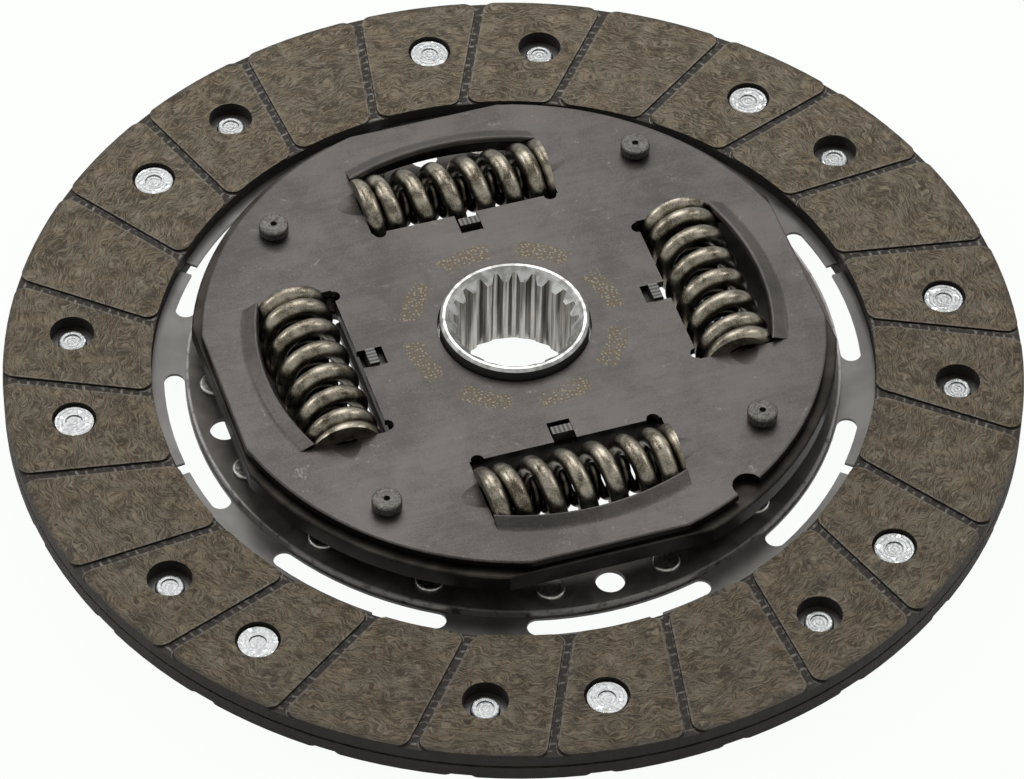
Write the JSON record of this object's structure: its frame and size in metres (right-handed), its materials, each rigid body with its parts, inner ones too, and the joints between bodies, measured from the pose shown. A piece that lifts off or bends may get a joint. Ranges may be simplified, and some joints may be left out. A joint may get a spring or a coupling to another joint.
{
  "type": "clutch disc",
  "caption": "Dry clutch friction disc with grooved riveted facings, a spring torsional damper and a splined hub.",
  "frame": {"origin": "on the hub's axis at the hub's rear end face, which is the part's lowest plane", "axes": "+Z along the hub's axis towards the spacer bolts' heads (the cover plate's side); the four damper windows lie on +X, +Y, -X and -Y"},
  "size_m": [0.228, 0.228, 0.0247],
  "materials": {
    "friction_lining": "moulded organic lining, matte and fibrous",
    "segment_steel": "blued strip steel, oiled",
    "bright_rivet": "plated, bright",
    "carrier_steel": "pressed steel, phosphated and oiled",
    "rivet_steel": "steel, worn grey",
    "cover_steel": "pressed steel, satin",
    "bolt_steel": "machined steel",
    "flange_steel": "fineblanked steel, hardened",
    "hub_steel": "machined steel, bright",
    "spring_steel": "oil-tempered wire",
    "inner_spring_steel": "oil-tempered wire, dark",
    "support_steel": "pressed steel",
    "friction_polymer": "moulded friction material",
    "pressure_steel": "pressed steel",
    "diaphragm_steel": "spring steel",
    "bush_polymer": "moulded bush"
  },
  "bodies": {
    "driven_plate": {"facing_front": "friction_lining", "facing_rear": "friction_lining", "cushion_disc": "segment_steel", "facing_rivets_front": "bright_rivet", "facing_rivets_rear": "bright_rivet", "carrier_plate": "carrier_steel", "carrier_rivets": "rivet_steel", "cover_plate": "cover_steel", "spacer_bolts": "bolt_steel", "damper_spring_1": "spring_steel", "damper_spring_2": "spring_steel", "damper_spring_3": "spring_steel", "damper_spring_4": "spring_steel", "inner_spring_1": "inner_spring_steel", "inner_spring_2": "inner_spring_steel", "inner_spring_3": "inner_spring_steel", "inner_spring_4": "inner_spring_steel", "support_plate": "support_steel", "friction_ring_front": "friction_polymer", "friction_ring_rear": "friction_polymer", "pressure_ring": "pressure_steel", "diaphragm_spring": "diaphragm_steel", "centring_bush": "bush_polymer"},
    "hub": {"splined_hub": "hub_steel", "hub_flange": "flange_steel"}
  },
  "joints": [
    {"name": "damper", "type": "hinge", "parent": "driven_plate", "child": "hub", "pos_m": [0, 0, 0.0157], "axis": [0, 0, 1], "range_deg": [-10, 10], "stiffness_Nm_per_rad": 1400, "deforming": ["damper_spring_1", "damper_spring_2", "damper_spring_3", "damper_spring_4", "inner_spring_1", "inner_spring_2", "inner_spring_3", "inner_spring_4"]}
  ]
}
